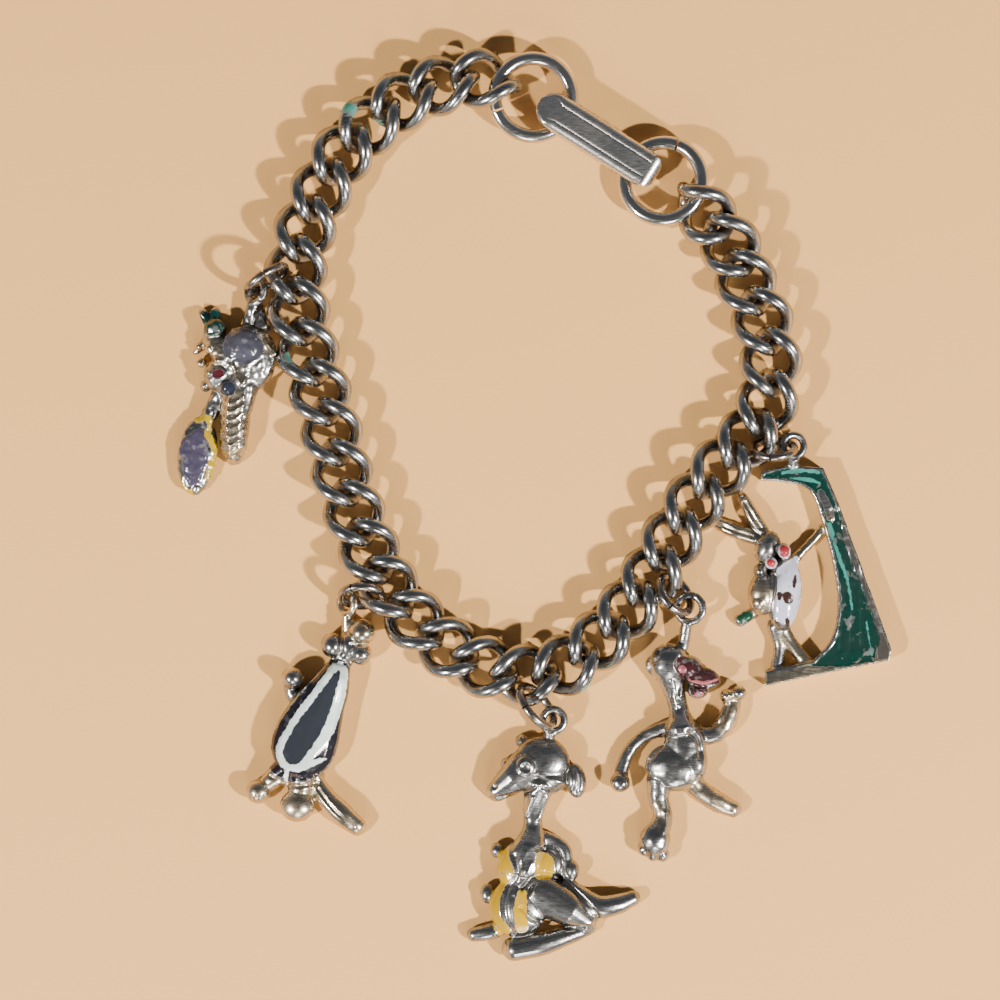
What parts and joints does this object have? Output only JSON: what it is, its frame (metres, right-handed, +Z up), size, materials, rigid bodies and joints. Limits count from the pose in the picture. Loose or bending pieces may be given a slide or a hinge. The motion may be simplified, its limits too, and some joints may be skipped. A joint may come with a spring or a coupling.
{
  "type": "charm bracelet",
  "caption": "Charm bracelet: a twisted curb chain closed by a fold-over clasp between two split rings, hung with small cast and enamelled animal charms on jump rings.",
  "frame": {"origin": "middle of the bracelet's plan box, on the surface it lies on", "axes": "+Z up from the surface, +Y along the bracelet's longest way across, towards the clasp, +X to the right of it"},
  "size_m": [0.0766, 0.0974, 0.0057],
  "materials": {
    "chain_metal": "aged, polished nickel silver with dark recesses",
    "bright_metal": "bright plated metal with light wear",
    "dark_metal": "tarnished plated wire",
    "cast_metal": "cast white metal, polished, warm worn high points, with coloured enamel"
  },
  "bodies": {
    "bracelet": {"chain_link_01": "chain_metal", "chain_link_02": "chain_metal", "chain_link_03": "chain_metal", "chain_link_04": "chain_metal", "chain_link_05": "chain_metal", "chain_link_06": "chain_metal", "chain_link_07": "chain_metal", "chain_link_08": "chain_metal", "chain_link_09": "chain_metal", "chain_link_10": "chain_metal", "chain_link_11": "chain_metal", "chain_link_12": "chain_metal", "chain_link_13": "chain_metal", "chain_link_14": "chain_metal", "chain_link_15": "chain_metal", "chain_link_16": "chain_metal", "chain_link_17": "chain_metal", "chain_link_18": "chain_metal", "chain_link_19": "chain_metal", "chain_link_20": "chain_metal", "chain_link_21": "chain_metal", "chain_link_22": "chain_metal", "chain_link_23": "chain_metal", "chain_link_24": "chain_metal", "chain_link_25": "chain_metal", "chain_link_26": "chain_metal", "chain_link_27": "chain_metal", "chain_link_28": "chain_metal", "chain_link_29": "chain_metal", "chain_link_30": "chain_metal", "chain_link_31": "chain_metal", "chain_link_32": "chain_metal", "chain_link_33": "chain_metal", "chain_link_34": "chain_metal", "jump_ring_1": "dark_metal", "jump_ring_2": "dark_metal", "jump_ring_3": "dark_metal", "jump_ring_4": "dark_metal", "jump_ring_5": "dark_metal", "clasp_pin": "dark_metal", "ring_left": "bright_metal", "ring_right": "bright_metal", "clasp_base": "bright_metal", "charm_peacock": "cast_metal", "charm_skunk": "cast_metal", "charm_giraffe": "cast_metal", "charm_monkey": "cast_metal", "charm_hare": "cast_metal"},
    "cover": {"clasp_cover": "bright_metal"}
  },
  "joints": [
    {"name": "clasp_lever", "type": "hinge", "parent": "bracelet", "child": "cover", "pos_m": [0.01187, 0.03576, 0.00082], "axis": [0.5358, 0.8443, 0], "range_deg": [0, 90]}
  ]
}
